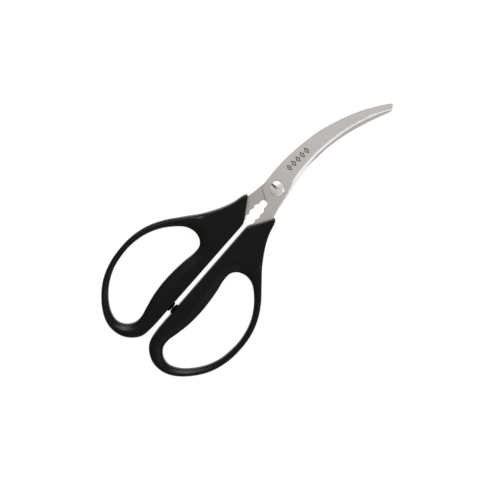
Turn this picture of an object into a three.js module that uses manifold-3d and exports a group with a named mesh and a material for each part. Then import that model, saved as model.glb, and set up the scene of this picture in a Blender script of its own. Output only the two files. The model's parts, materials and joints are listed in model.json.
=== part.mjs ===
// Poultry shears: two curved steel blades on a screwed pivot, each moulded into a loop handle.
// Millimetres, +Z up. The shears lie flat and closed. +Y runs from the finger loops to the blade
// tips, and the blades curve towards +X. Everything is drawn about the pivot's axis, with z = 0
// midway between the blades; the last lines move the group to the centre of its underside.
import * as THREE from 'three';
import { mergeVertices } from 'three/addons/utils/BufferGeometryUtils.js';
import Module from 'manifold-3d';

const wasm = await Module();
wasm.setup();

// Driving dimensions.
const FIT_GAP = 0.3; // between a moulded pocket and the steel or rubber inside it
const SEAT_GAP = 0.05; // between flat faces that rest on each other
const BLADE_THICKNESS = 2.2;
const TIP_THICKNESS = 1.5;
const TAPER_START_Y = 15; // the blades thin from here to their tips
const EDGE_THICKNESS = 0.25; // left at the cutting edge under its bevel
const HEEL_DROP = 0.35; // depth of the ground band along the upper blade's heel
const CURVE_STEPS = 3; // straight steps between two points of an outline
const STATION_OVERRUN = 3; // how far a cut runs on past a blade's tip, in half steps

const HANDLE_HALF = 5.2; // half thickness of the grip and the front of a handle
const BOW_HALF = 3.9; // half thickness of the finger loop
const ROUND_IN = 0.7; // rounding of a handle's edges, across and through
const ROUND_DOWN = 1.6;

const SHANK_RADIUS = 2.5;
const PIVOT_HOLE_RADIUS = 2.65;
const HEAD_RADIUS = 4.3;
const HEAD_RIM = 0.45;
const HEAD_DOME = 0.9;
const SLOT_WIDTH = 1.2;
const SLOT_DEPTH = 0.7;
const WASHER_RADIUS = 4.2;
const WASHER_THICKNESS = 0.35;
const WASHER_DISH = 0.12;
const NUT_FLATS = 8;
const NUT_HEIGHT = 2.15;
const NUT_CHAMFER = 0.5;
const NUT_TURN = 13; // degrees, as it was tightened

const KEY_HOLES = [[7, -33, 2.2], [6.8, -49, 1.9]]; // x, y and radius of the holes in a tang
const BUMPER_Y = -93.4;
const BUMPER_RADIUS = 3.2;
const BUMPER_DOME = 1.35;
const STEM_RADIUS = 1.6;
const STEM_LENGTH = 4.5;

// Blade outlines, about the pivot. A convex spine is on -X and a concave one on +X.
const CONVEX_SPINE = [
  [-7.3, -4.85], [-7.6, -2.4], [-7.85, 2], [-8, 8.9], [-7.75, 15.9], [-6.85, 24], [-5.45, 32.7],
  [-3.5, 41.2], [-0.65, 49.4], [2.9, 57.9], [7.2, 66.1], [11.75, 73.1], [15.75, 78.5],
];
const CONCAVE_SPINE = [
  [6.8, -5.05], [7.15, -1.1], [7.2, 3], [6.5, 6.95], [5.9, 13.6], [5.6, 20.5], [5.6, 27.3],
  [6.2, 35.1], [7.7, 42.9], [9.95, 51.2], [12.8, 59.4], [16.3, 67.9], [19.75, 75.4],
];
const UPPER_EDGE = [
  [4.7, 7.3], [4.6, 14.6], [4.5, 22.4], [4.65, 29.3], [5.3, 35.6], [6.3, 42], [7.6, 48.2],
  [9.35, 54.6], [11.3, 60.4], [13.85, 66.5], [16.8, 72.4], [19.35, 76.8],
];
const UPPER_BEVEL_LINE = [
  [3.85, 8.6], [3.05, 14.7], [2.8, 22.5], [3, 29.4], [3.65, 35.8], [4.6, 42.1], [5.9, 48.3],
  [7.65, 54.7], [9.6, 60.5], [12.25, 66.6], [15.2, 72.7], [18, 77.75],
];
const LOWER_EDGE = [
  [-6.4, 7.3], [-6.4, 15.8], [-5.5, 23.9], [-4.1, 32.7], [-2.15, 41.2], [0.7, 49.3], [4.15, 57.5],
  [8.35, 65.4], [13, 72.4], [17, 77.75],
];
const LOWER_BEVEL_LINE = [
  [-5.55, 8.3], [-5, 15.8], [-4.05, 24.1], [-2.7, 33], [-0.8, 41.6], [2.05, 50], [5.4, 58.1],
  [9.55, 66.2], [14.05, 73.2], [17.75, 78.4],
];
const UPPER_TIP = [[17.1, 80.2], [17.9, 80.55], [20, 77.95]];
const LOWER_TIP = [[20.45, 77.4], [18.4, 79.6]];
const RICASSO = [[7.9, -4.95], [8.4, -8.4], [8.9, -11.05], [9.5, -13.8]];
const HEEL_BAND = [[-4.2, -2.1], [2.3, -8.25]]; // inner line of the ground band, along the heel

// Tang inside a right-hand handle: its outer side, then its inner side from the buried end.
const TANG_OUTER = [[10.1, -17], [10, -26], [9.4, -40], [8.8, -55]];
const TANG_INNER = [[4.8, -55], [4, -40], [3.2, -29.5]];
const TANG_END = { x: 6.8, y: -55, radius: 2 };

// Gripping notch, right-hand side: a round top, then scallops between these teeth.
const NOTCH_TOP = { x: 0, y: -12.1, radius: 2.25 };
const NOTCH_TEETH = [[1.85, -13.6], [2.6, -17.75], [2.4, -21.9], [1.9, -26.05]];
const SCALLOP_DEPTH = 0.95;

// Right-hand handle, about the pivot. The left-hand one is its mirror image.
const HANDLE_OUTSIDE = [
  [12.4, -17], [13.9, -22.8], [17.2, -30.2], [23.2, -39.7], [30.8, -49], [37.4, -57.1],
  [42.2, -65.3], [45.2, -74.2], [46.4, -84], [45.5, -96], [42, -106.8], [36.3, -115.4],
  [28.9, -122.4], [23, -125.5], [17.4, -126.4], [11.5, -125.3], [6.2, -121.9], [3, -117.5],
  [1.8, -110], [1.5, -101],
];
const HANDLE_FRONT = [[1.4, -28.6], [2.2, -26.8], [9.7, -14.9], [10.6, -14.15], [11.5, -14.8]];
const HANDLE_HOLE = [
  [14.1, -85.4], [13.8, -76.5], [12.9, -68], [11.7, -60.5], [12.1, -55.4], [14.7, -52.1],
  [19.4, -50.4], [25.1, -51.5], [30.5, -55.7], [36.4, -62.8], [40.6, -71.1], [42.8, -81],
  [42.8, -89], [41.4, -97.9], [37.5, -107], [31.9, -114.3], [25.8, -119.1], [19.9, -120.9],
  [15, -119.4], [11.3, -115.1], [10.5, -110], [11.8, -103.5], [13.4, -95],
];
// The thicker grip stands up out of the loop, just inside the handle's own outline.
const GRIP_OUTLINE = [
  [13, -23.2], [16.2, -30.8], [21.6, -39.6], [26.5, -46.2], [24.2, -49.5], [19.5, -49.9],
  [14.3, -51.5], [11.4, -55], [10.9, -60.5], [12.1, -68], [12.9, -76.5], [13.2, -85.4],
  [12.4, -95], [10.8, -103.3], [9.6, -110], [9.6, -115.5], [7.4, -119], [4.4, -116.6],
  [3, -110], [2.4, -101],
];
const GRIP_FRONT = [[2.2, -29.5], [3.1, -27.9], [10, -16.8], [11.5, -17.2]];

// Geometry helpers.

function curveThrough(points, closed = false) {
  const knots = points.map(([x, y]) => new THREE.Vector3(x, y, 0));
  return new THREE.CatmullRomCurve3(knots, closed, 'centripetal');
}

/** Points along a smooth curve through the given points. */
function curvePoints(points, closed = false) {
  const spans = closed ? points.length : points.length - 1;
  const sampled = curveThrough(points, closed).getPoints(spans * CURVE_STEPS).map(({ x, y }) => [x, y]);
  return closed ? sampled.slice(0, -1) : sampled;
}

/** Points midway between those of curvePoints, with one more past each end. */
function stationsAlong(points) {
  const curve = curveThrough(points);
  const count = (points.length - 1) * CURVE_STEPS;
  const start = curve.getPoint(0);
  const end = curve.getPoint(1);
  const between = Array.from({ length: count }, (_, i) => curve.getPoint((i + 0.5) / count));
  const before = start.clone().lerp(between[0], -1);
  const after = end.clone().lerp(between[count - 1], -STATION_OVERRUN);
  return [before, ...between, after].map(({ x, y }) => [x, y]);
}

function arcPoints({ x, y, radius }, fromDegrees, toDegrees, steps) {
  return Array.from({ length: steps + 1 }, (_, i) => {
    const angle = THREE.MathUtils.degToRad(fromDegrees + ((toDegrees - fromDegrees) * i) / steps);
    return [x + radius * Math.cos(angle), y + radius * Math.sin(angle)];
  });
}

function circlePoints([x, y, radius], steps = 32) {
  return arcPoints({ x, y, radius }, 0, 360, steps).slice(0, -1);
}

const mirrored = (points) => points.map(([x, y]) => [-x, y]);
const vectors = (points) => points.map(([x, y]) => new THREE.Vector2(x, y));

/** A shape whose outline runs anticlockwise and whose holes run clockwise. */
function shapeOf(outline, holes) {
  const turn = (points, clockwise) =>
    THREE.ShapeUtils.isClockWise(points) === clockwise ? points : points.reverse();
  const shape = new THREE.Shape(turn(vectors(outline), false));
  shape.holes = holes.map((hole) => new THREE.Path(turn(vectors(hole), true)));
  return shape;
}

/** A flat slab between two heights. */
function slab(outline, holes, low, high) {
  const options = { depth: high - low, bevelEnabled: false };
  return new THREE.ExtrudeGeometry(shapeOf(outline, holes), options).translate(0, 0, low);
}

/** A slab with rounded edges, as thick above z = 0 as below it. The outline is its widest line. */
function roundedSlab(outline, holes, half) {
  const geometry = new THREE.ExtrudeGeometry(shapeOf(outline, holes), {
    depth: 2 * (half - ROUND_DOWN),
    bevelThickness: ROUND_DOWN,
    bevelSize: ROUND_IN,
    bevelOffset: -ROUND_IN,
    bevelSegments: 2,
  });
  return geometry.translate(0, 0, ROUND_DOWN - half);
}

/** A closed skin over a row of sections, each a ring of the same number of points. */
function loft(sections) {
  const size = sections[0].length;
  const positions = sections.flat(2);
  const index = [];
  for (let row = 0; row + 1 < sections.length; row += 1) {
    for (let i = 0; i < size; i += 1) {
      const a = row * size + i;
      const b = row * size + ((i + 1) % size);
      index.push(a, b, b + size, a, b + size, a + size);
    }
  }
  const last = (sections.length - 1) * size;
  for (let i = 1; i + 1 < size; i += 1) {
    index.push(0, i + 1, i, last, last + i, last + i + 1);
  }
  const geometry = new THREE.BufferGeometry();
  geometry.setAttribute('position', new THREE.Float32BufferAttribute(positions, 3));
  geometry.setIndex(index);
  return geometry;
}

function solid(geometry) {
  const bare = geometry.clone();
  bare.deleteAttribute('normal');
  bare.deleteAttribute('uv');
  const merged = mergeVertices(bare, 1e-4);
  const triVerts = new Uint32Array(merged.index.array);
  const vertProperties = new Float32Array(merged.attributes.position.array);
  const result = new wasm.Manifold(new wasm.Mesh({ numProp: 3, vertProperties, triVerts }));
  if (result.volume() > 0) return result;
  const flipped = triVerts.map((_, i) => triVerts[i - (i % 3) + 2 - (i % 3)]);
  return new wasm.Manifold(new wasm.Mesh({ numProp: 3, vertProperties, triVerts: flipped }));
}

function surface(manifold) {
  const { vertProperties, triVerts } = manifold.getMesh();
  const geometry = new THREE.BufferGeometry();
  geometry.setAttribute('position', new THREE.BufferAttribute(vertProperties, 3));
  geometry.setIndex(new THREE.BufferAttribute(triVerts, 1));
  geometry.computeVertexNormals();
  return geometry;
}

const turned = (profile, steps = 32) =>
  new THREE.LatheGeometry(vectors(profile), steps).rotateX(Math.PI / 2);

// Materials.
const bladeSteel = new THREE.MeshStandardMaterial({ color: 0xb4b1ab, roughness: 0.38, metalness: 1 });
const screwSteel = new THREE.MeshStandardMaterial({ color: 0xcfccc6, roughness: 0.18, metalness: 1 });
const handlePlastic = new THREE.MeshStandardMaterial({ color: 0x1b1917, roughness: 0.42, metalness: 0 });
const bumperRubber = new THREE.MeshStandardMaterial({ color: 0x0a0a0a, roughness: 0.75, metalness: 0 });

// Blades.

/** The side of a tang that faces the gripping notch, from the notch's top to the handle. */
function notchSide() {
  const points = arcPoints(NOTCH_TOP, 90, -10, 8);
  NOTCH_TEETH.slice(1).forEach(([x, y], i) => {
    const [fromX, fromY] = NOTCH_TEETH[i];
    for (let step = 0; step <= 6; step += 1) {
      const t = step / 6;
      const dip = SCALLOP_DEPTH * Math.sin(Math.PI * t);
      if (step > 0 || i === 0) points.push([fromX + (x - fromX) * t + dip, fromY + (y - fromY) * t]);
    }
  });
  return points;
}

/** The whole tang of the right-hand lever, from its outer side round to the notch's top. */
function tangOutline() {
  const end = arcPoints(TANG_END, 0, -180, 8).slice(1, -1);
  return [...TANG_OUTER, ...end, ...TANG_INNER, ...notchSide().reverse()];
}

function keyHoles(shrink = 0) {
  return KEY_HOLES.map(([x, y, radius]) => circlePoints([x, y, radius - shrink]));
}

/** Cuts a sloping face off a slab, from a line on its outer face down to a lower line. */
function slopeCutter(highLine, lowLine, highZ, lowZ) {
  const reach = 0.5; // how far the cutter runs on past both lines, as a share of its width
  const low = stationsAlong(lowLine);
  const sections = stationsAlong(highLine).map(([x, y], i) => {
    const [dx, dy, dz] = [low[i][0] - x, low[i][1] - y, lowZ - highZ];
    const top = [x - dx * reach, y - dy * reach, highZ - dz * reach];
    const bottom = [low[i][0] + dx * reach, low[i][1] + dy * reach, lowZ + dz * reach];
    return [top, bottom, [bottom[0], bottom[1], top[2]]];
  });
  return solid(loft(sections));
}

/** Thins a blade on its outer face from TAPER_START_Y to its tip. */
function taperCutter(outerZ, side) {
  const [tipX, tipY] = UPPER_TIP[1];
  const cut = (y) => ((y - TAPER_START_Y) * (BLADE_THICKNESS - TIP_THICKNESS)) / (tipY - TAPER_START_Y);
  const section = (y) => [
    [-2 * tipX, y, outerZ - side * cut(y)],
    [2 * tipX, y, outerZ - side * cut(y)],
    [2 * tipX, y, outerZ + side * 2],
    [-2 * tipX, y, outerZ + side * 2],
  ];
  return solid(loft([section(TAPER_START_Y - 5), section(tipY + 5)]));
}

function upperBlade() {
  const low = SEAT_GAP;
  const high = low + BLADE_THICKNESS;
  const outline = [
    ...curvePoints(CONVEX_SPINE), ...UPPER_TIP, ...curvePoints(UPPER_EDGE).reverse(),
    ...curvePoints([[5, 7.5], [6.7, 3.8], [7.5, 0.5], [8, -3], ...RICASSO]).slice(1),
    ...tangOutline(),
  ];
  const holes = [circlePoints([0, 0, PIVOT_HOLE_RADIUS], 40), ...keyHoles()];
  const bevel = slopeCutter(UPPER_BEVEL_LINE, UPPER_EDGE, high, low + EDGE_THICKNESS);
  const heelLine = [CONVEX_SPINE[0], [NOTCH_TOP.x, NOTCH_TOP.y + NOTCH_TOP.radius]];
  const heel = slopeCutter(HEEL_BAND, heelLine, high, high - HEEL_DROP);
  return solid(slab(outline, holes, low, high))
    .subtract(bevel).subtract(heel).subtract(taperCutter(high, 1));
}

function lowerBlade() {
  const high = -SEAT_GAP;
  const low = high - BLADE_THICKNESS;
  const outline = [
    ...curvePoints(CONCAVE_SPINE), ...LOWER_TIP, ...curvePoints(LOWER_EDGE).reverse(),
    ...curvePoints([[-6.4, 7.5], [-7.1, 4], [-7.3, 0], [-7.5, -3.5], ...mirrored(RICASSO)]).slice(1),
    ...mirrored(tangOutline()),
  ];
  const holes = [circlePoints([0, 0, PIVOT_HOLE_RADIUS], 40), ...keyHoles().map(mirrored)];
  const bevel = slopeCutter(LOWER_BEVEL_LINE, LOWER_EDGE, low, high - EDGE_THICKNESS);
  return solid(slab(outline, holes, low, high)).subtract(bevel).subtract(taperCutter(low, -1));
}

// Handles and their stop bumpers.

/** The pocket for a tang, open at the handle's front, with posts left through its key holes. */
function tangPocket(bladeMiddle) {
  const wider = ([x, y]) => [x + FIT_GAP, y];
  const narrower = ([x, y]) => [x - FIT_GAP, y];
  const end = { ...TANG_END, radius: TANG_END.radius + FIT_GAP };
  const [mouthX, mouthY] = NOTCH_TEETH[NOTCH_TEETH.length - 1];
  const outline = [
    [0, -12], [10.1 + FIT_GAP, -12], ...TANG_OUTER.map(wider),
    ...arcPoints(end, 0, -180, 8).slice(1, -1), ...TANG_INNER.map(narrower),
    [mouthX - FIT_GAP, mouthY], [0, mouthY + 2],
  ];
  const half = BLADE_THICKNESS / 2 + FIT_GAP;
  return slab(outline, keyHoles(FIT_GAP), bladeMiddle - half, bladeMiddle + half);
}

function bumperSocket() {
  const socket = new THREE.CylinderGeometry(
    STEM_RADIUS + FIT_GAP, STEM_RADIUS + FIT_GAP, STEM_LENGTH + 1, 24);
  return socket.rotateZ(Math.PI / 2).translate(BUMPER_DOME + STEM_LENGTH / 2, BUMPER_Y, 0);
}

/** A right-hand handle around a tang at the given height. */
function handle(bladeMiddle) {
  const outline = [...curvePoints(HANDLE_OUTSIDE), ...HANDLE_FRONT];
  const hole = curvePoints(HANDLE_HOLE, true);
  const grip = [...curvePoints(GRIP_OUTLINE), ...GRIP_FRONT];
  return solid(roundedSlab(outline, [hole], BOW_HALF))
    .add(solid(roundedSlab(grip, [], HANDLE_HALF)))
    .subtract(solid(tangPocket(bladeMiddle)))
    .subtract(solid(bumperSocket()));
}

/** A domed rubber button on a stem, standing on its stem's end along +Z. */
function bumper() {
  const dome = Array.from({ length: 5 }, (_, i) => {
    const angle = (Math.PI / 2) * (i / 4);
    return [BUMPER_RADIUS * Math.cos(angle), STEM_LENGTH + BUMPER_DOME * Math.sin(angle)];
  });
  return turned([[0, 0], [STEM_RADIUS, 0], [STEM_RADIUS, STEM_LENGTH], ...dome], 20);
}

// Pivot.

function pivotScrew() {
  const seat = SEAT_GAP * 2 + BLADE_THICKNESS;
  const end = -seat - WASHER_THICKNESS - WASHER_DISH - NUT_HEIGHT;
  const dome = Array.from({ length: 6 }, (_, i) => {
    const angle = (Math.PI / 2) * (i / 5);
    return [HEAD_RADIUS * Math.cos(angle), seat + HEAD_RIM + HEAD_DOME * Math.sin(angle)];
  });
  const profile = [
    [0, end], [SHANK_RADIUS - 0.4, end], [SHANK_RADIUS, end + 0.4], [SHANK_RADIUS, seat],
    [HEAD_RADIUS, seat], ...dome,
  ];
  const top = seat + HEAD_RIM + HEAD_DOME;
  const slot = new THREE.BoxGeometry(3 * HEAD_RADIUS, SLOT_WIDTH, 2 * SLOT_DEPTH).translate(0, 0, top);
  return solid(turned(profile)).subtract(solid(slot));
}

/** A dished spring washer under the lower blade, resting on its outer edge. */
function pivotWasher() {
  const top = -SEAT_GAP * 2 - BLADE_THICKNESS;
  const inner = PIVOT_HOLE_RADIUS + 0.1;
  return turned([
    [inner, top - WASHER_DISH - WASHER_THICKNESS], [WASHER_RADIUS, top - WASHER_THICKNESS],
    [WASHER_RADIUS, top], [inner, top - WASHER_DISH],
    [inner, top - WASHER_DISH - WASHER_THICKNESS],
  ]);
}

/** A thin hexagon nut with chamfered corners, under the washer. */
function pivotNut() {
  const high = -SEAT_GAP * 3 - BLADE_THICKNESS - WASHER_DISH - WASHER_THICKNESS;
  const low = high - NUT_HEIGHT;
  const corner = NUT_FLATS / Math.sqrt(3);
  const hexagon = arcPoints({ x: 0, y: 0, radius: corner }, NUT_TURN, NUT_TURN + 300, 5);
  const limit = turned([
    [0, low], [corner - NUT_CHAMFER, low], [corner + 0.05, low + NUT_CHAMFER],
    [corner + 0.05, high], [0, high],
  ]);
  const prism = slab(hexagon, [circlePoints([0, 0, PIVOT_HOLE_RADIUS], 40)], low, high);
  return solid(prism).intersect(solid(limit));
}

// Assembly.

function piece(name, geometry, material) {
  const mesh = new THREE.Mesh(geometry, material);
  mesh.name = name;
  return mesh;
}

/** A stop bumper in its socket; side is 1 for the right-hand handle and -1 for the left. */
function placedBumper(name, side) {
  const mesh = piece(name, bumper(), bumperRubber);
  mesh.rotation.y = (-side * Math.PI) / 2;
  mesh.position.set(side * (SEAT_GAP + BUMPER_DOME + STEM_LENGTH), BUMPER_Y, 0);
  return mesh;
}

const bladeMiddle = SEAT_GAP + BLADE_THICKNESS / 2;
const leftHandle = handle(-bladeMiddle).mirror([1, 0, 0]);

const upperLever = new THREE.Group();
upperLever.add(
  piece('upper_blade', surface(upperBlade()), bladeSteel),
  piece('right_handle', surface(handle(bladeMiddle)), handlePlastic),
  placedBumper('right_stop_bumper', 1),
);

const lowerLever = new THREE.Group();
lowerLever.add(
  piece('lower_blade', surface(lowerBlade()), bladeSteel),
  piece('left_handle', surface(leftHandle), handlePlastic),
  placedBumper('left_stop_bumper', -1),
  piece('pivot_screw', surface(pivotScrew()), screwSteel),
  piece('pivot_washer', pivotWasher(), screwSteel),
  piece('pivot_nut', surface(pivotNut()), screwSteel),
);

// The origin is the centre of the underside of the closed shears' box.
const shears = new THREE.Group();
shears.add(upperLever, lowerLever);
const box = new THREE.Box3().setFromObject(shears, true);
const centre = box.getCenter(new THREE.Vector3());
shears.position.set(-centre.x, -centre.y, -box.min.z);

export default shears;
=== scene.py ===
"""Poultry shears: the finished look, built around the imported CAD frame.

Shapes are drawn in millimetres about the pivot's axis, with z = 0 midway between the two blades,
and written to Blender in metres in the CAD's own frame.
"""
import json
import math

import bpy
import numpy as np
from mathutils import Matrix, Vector
from mathutils.geometry import delaunay_2d_cdt

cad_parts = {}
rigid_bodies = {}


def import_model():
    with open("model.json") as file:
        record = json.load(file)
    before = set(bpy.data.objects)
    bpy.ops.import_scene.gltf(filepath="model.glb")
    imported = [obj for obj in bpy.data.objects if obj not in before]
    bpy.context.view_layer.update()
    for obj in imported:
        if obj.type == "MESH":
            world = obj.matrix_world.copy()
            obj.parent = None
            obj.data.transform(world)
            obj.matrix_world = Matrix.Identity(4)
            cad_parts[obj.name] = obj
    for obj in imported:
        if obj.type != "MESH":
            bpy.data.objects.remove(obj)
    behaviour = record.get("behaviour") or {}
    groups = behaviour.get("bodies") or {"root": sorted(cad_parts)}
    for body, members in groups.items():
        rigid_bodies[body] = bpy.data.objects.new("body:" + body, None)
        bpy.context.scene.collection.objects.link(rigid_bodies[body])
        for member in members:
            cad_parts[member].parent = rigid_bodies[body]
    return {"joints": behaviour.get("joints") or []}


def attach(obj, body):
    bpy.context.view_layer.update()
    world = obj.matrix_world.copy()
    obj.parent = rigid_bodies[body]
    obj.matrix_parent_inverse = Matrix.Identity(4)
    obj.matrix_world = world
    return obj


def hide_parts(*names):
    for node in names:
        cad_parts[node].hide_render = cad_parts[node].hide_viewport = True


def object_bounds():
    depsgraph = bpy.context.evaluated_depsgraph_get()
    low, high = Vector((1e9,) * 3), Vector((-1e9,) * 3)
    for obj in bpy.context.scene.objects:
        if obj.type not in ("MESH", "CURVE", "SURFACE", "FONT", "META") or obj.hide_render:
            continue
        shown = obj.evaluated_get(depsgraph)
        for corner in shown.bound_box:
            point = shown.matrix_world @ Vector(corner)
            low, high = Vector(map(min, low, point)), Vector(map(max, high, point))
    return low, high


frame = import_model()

CAD_LOW, CAD_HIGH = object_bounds()
MM = 0.001
MICRON = 0.000001
SAME_POINT = 1e-6  # mm: points nearer to each other than this are one point
ON_LINE = 0.01  # mm: a point nearer to a line than this lies on it
TINY = 1e-12  # keeps a division away from zero
PIVOT = Vector(frame["joints"][0]["pos_m"])
LOWER_BODY = frame["joints"][0]["parent"]
UPPER_BODY = frame["joints"][0]["child"]

# -------- curves and distances


def catmull(points, closed=False, steps=24):
    """A centripetal Catmull-Rom curve through the points, as a dense polyline."""
    p = np.array(points, float)
    if closed:
        p = np.vstack([p[-1], p, p[0], p[1]])
    else:
        p = np.vstack([2 * p[0] - p[1], p, 2 * p[-1] - p[-2]])
    made = []
    for a, b, c, d in zip(p, p[1:], p[2:], p[3:]):
        t1 = math.sqrt(np.linalg.norm(b - a))
        t2 = t1 + math.sqrt(np.linalg.norm(c - b))
        t3 = t2 + math.sqrt(np.linalg.norm(d - c))
        t = np.linspace(t1, t2, steps, endpoint=False)[:, None]
        middle = (t - t1) / (t2 - t1)
        ab, bc, cd = mix(a, b, t / t1), mix(b, c, middle), mix(c, d, (t - t2) / (t3 - t2))
        made.append(mix(mix(ab, bc, t / t2), mix(bc, cd, (t - t1) / (t3 - t1)), middle))
    if not closed:
        made.append(np.array(points[-1:], float))
    return np.vstack(made)


def respaced(line, spacing):
    """The same polyline with points an even distance apart, both ends kept."""
    line = np.array(line, float)
    lengths = np.concatenate([[0], np.cumsum(np.linalg.norm(np.diff(line, axis=0), axis=1))])
    count = max(1, round(lengths[-1] / spacing))
    at = np.linspace(0, lengths[-1], count + 1)
    return np.stack([np.interp(at, lengths, values) for values in line.T], 1)


def curve(points, spacing=0.5):
    """A smooth curve through the points, as a polyline with points an even distance apart."""
    return respaced(catmull(points), spacing)


def joined_loop(parts):
    """One closed loop from (polyline, spacing) parts that follow each other; corners are kept."""
    made = [respaced(line, spacing) for line, spacing in parts]
    points = [made[0]]
    for part in made[1:]:
        start = 1 if np.linalg.norm(part[0] - points[-1][-1]) < SAME_POINT else 0
        points.append(part[start:])
    loop = np.vstack(points)
    return loop[:-1] if np.linalg.norm(loop[0] - loop[-1]) < SAME_POINT else loop


def arc(x, y, radius, start, end, spacing=0.25):
    """Points along a circle's arc, in degrees."""
    count = max(4, round(abs(math.radians(end - start)) * radius / spacing))
    angles = np.radians(np.linspace(start, end, count + 1))
    return np.stack([x + radius * np.cos(angles), y + radius * np.sin(angles)], 1)


def round_angles(count):
    """Equal steps once round, in radians."""
    return np.radians(np.arange(count) * 360 / count)


def circle(radius, count):
    angles = round_angles(count)
    return radius * np.stack([np.cos(angles), np.sin(angles)], 1)


def closed_line(loop):
    return np.vstack([loop, loop[:1]])


def distance(points, line, batch=3000):
    """Distance from each point to an open polyline."""
    a, b = line[:-1], line[1:]
    ab = b - a
    squared = np.maximum((ab**2).sum(1), TINY)
    out = np.empty(len(points))
    for i in range(0, len(points), batch):
        p = points[i : i + batch, None, :]
        t = np.clip(((p - a) * ab).sum(2) / squared, 0, 1)
        out[i : i + batch] = np.sqrt((((a + t[..., None] * ab) - p) ** 2).sum(2).min(1))
    return out


def inside(points, loop, batch=4000):
    """Which points lie inside a closed loop."""
    a, b = loop, np.roll(loop, -1, 0)
    out = np.empty(len(points), bool)
    rise = np.where(b[:, 1] == a[:, 1], TINY, b[:, 1] - a[:, 1])
    for i in range(0, len(points), batch):
        p = points[i : i + batch]
        y = p[:, 1:2]
        spans = (a[:, 1] > y) != (b[:, 1] > y)
        cross = a[:, 0] + (y - a[:, 1]) / rise * (b[:, 0] - a[:, 0])
        out[i : i + batch] = (spans & (p[:, :1] < cross)).sum(1) % 2 == 1
    return out


def smoothstep(low, high, value):
    """0 up to low and 1 from high on, with a smooth change between; low may be the larger."""
    t = np.clip((value - low) / (high - low), 0, 1)
    return t * t * (3 - 2 * t)


def mix(a, b, share):
    """a where share is 0, b where it is 1."""
    return a + (b - a) * share


# -------- mesh building

RING_TOLERANCE = 0.97
RING_CREASE_GAP = 0.08
FIELD_RIM_SHARE = 0.5
FIELD_CREASE_SHARE = 0.35


def anticlockwise(loop):
    x, y = loop[:, 0], loop[:, 1]
    doubled_area = (x * np.roll(y, -1) - np.roll(x, -1) * y).sum()
    return loop if doubled_area > 0 else loop[::-1]


def to_the_left(along):
    """Unit vectors to the left of these directions."""
    along = along / np.linalg.norm(along, axis=1)[:, None]
    return np.stack([-along[:, 1], along[:, 0]], 1)


def inset(loop, amount):
    """A closed anticlockwise loop's points moved to its left, which is inwards."""
    return loop + amount * to_the_left(np.roll(loop, -1, 0) - np.roll(loop, 1, 0))


def beside(line, amount):
    """An open polyline moved to its left."""
    return line + amount * to_the_left(np.gradient(line, axis=0))


class Plan:
    """A flat shape cut into triangles: its loops, the rings just inside them, its creases and a grid."""

    def __init__(self, outline, holes=(), rings=(), creases=(), grid=1.0):
        loops = [anticlockwise(outline)] + [anticlockwise(hole)[::-1] for hole in holes]
        # Blender's triangulation works in single precision, and the tests below have to agree with it.
        self.loops = [np.float32(loop).astype(float) for loop in loops]
        edges, total = [], 0
        for i, line in enumerate([*self.loops, *creases]):
            count = len(line)
            links = count if i < len(self.loops) else count - 1
            edges += [(total + k, total + (k + 1) % count) for k in range(links)]
            total += count
        field = self.field_points(grid, max(rings, default=0), creases)
        points = [*self.loops, *creases, *self.ring_points(rings, creases), field]
        self.points, self.triangles, self.ring_index = self.cut(np.vstack(points), edges)

    def ring_points(self, rings, creases):
        """Points at each distance in from the loops, less those near another loop or a crease."""
        made = []
        for amount in rings:
            for loop in self.loops:
                ring = inset(loop, amount)
                keep = self.holds(ring) & (self.edge_distance(ring) > RING_TOLERANCE * amount)
                for crease in creases:
                    keep &= distance(ring, crease) > RING_CREASE_GAP
                made.append(ring[keep])
        return made

    def field_points(self, grid, deepest, creases):
        """A triangular grid of points over what the rings leave."""
        low, high = self.loops[0].min(0), self.loops[0].max(0)
        rows = []
        for i, y in enumerate(np.arange(low[1], high[1], grid * math.sqrt(3) / 2)):
            x = np.arange(low[0] + (i % 2) * grid / 2, high[0], grid)
            rows.append(np.stack([x, np.full(len(x), y)], 1))
        field = np.vstack(rows)
        field = field[self.holds(field)]
        keep = self.edge_distance(field) > deepest + FIELD_RIM_SHARE * grid
        for crease in creases:
            keep &= distance(field, crease) > FIELD_CREASE_SHARE * grid
        return field[keep]

    def holds(self, points):
        found = inside(points, self.loops[0])
        for hole in self.loops[1:]:
            found &= ~inside(points, hole)
        return found

    def edge_distance(self, points):
        return np.min([distance(points, closed_line(loop)) for loop in self.loops], axis=0)

    def cut(self, points, edges):
        """The triangles over the points, all anticlockwise, and each loop's vertex numbers."""
        points = [Vector(p) for p in points]
        verts, _, faces, origins, _, _ = delaunay_2d_cdt(points, edges, [], 0, SAME_POINT)
        made = np.array([tuple(v) for v in verts])
        where = {}
        for new, olds in enumerate(origins):
            for old in olds:
                where[old] = new
        triangles = np.array([f for f in faces if len(f) == 3])
        triangles = triangles[self.holds(made[triangles].mean(1))]
        a, b, c = (made[triangles[:, i]] for i in range(3))
        area = (b[:, 0] - a[:, 0]) * (c[:, 1] - a[:, 1]) - (b[:, 1] - a[:, 1]) * (c[:, 0] - a[:, 0])
        triangles[area < 0] = triangles[area < 0][:, ::-1]
        index, start = [], 0
        for loop in self.loops:
            index.append([where[start + i] for i in range(len(loop))])
            start += len(loop)
        return made, triangles, index


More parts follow.
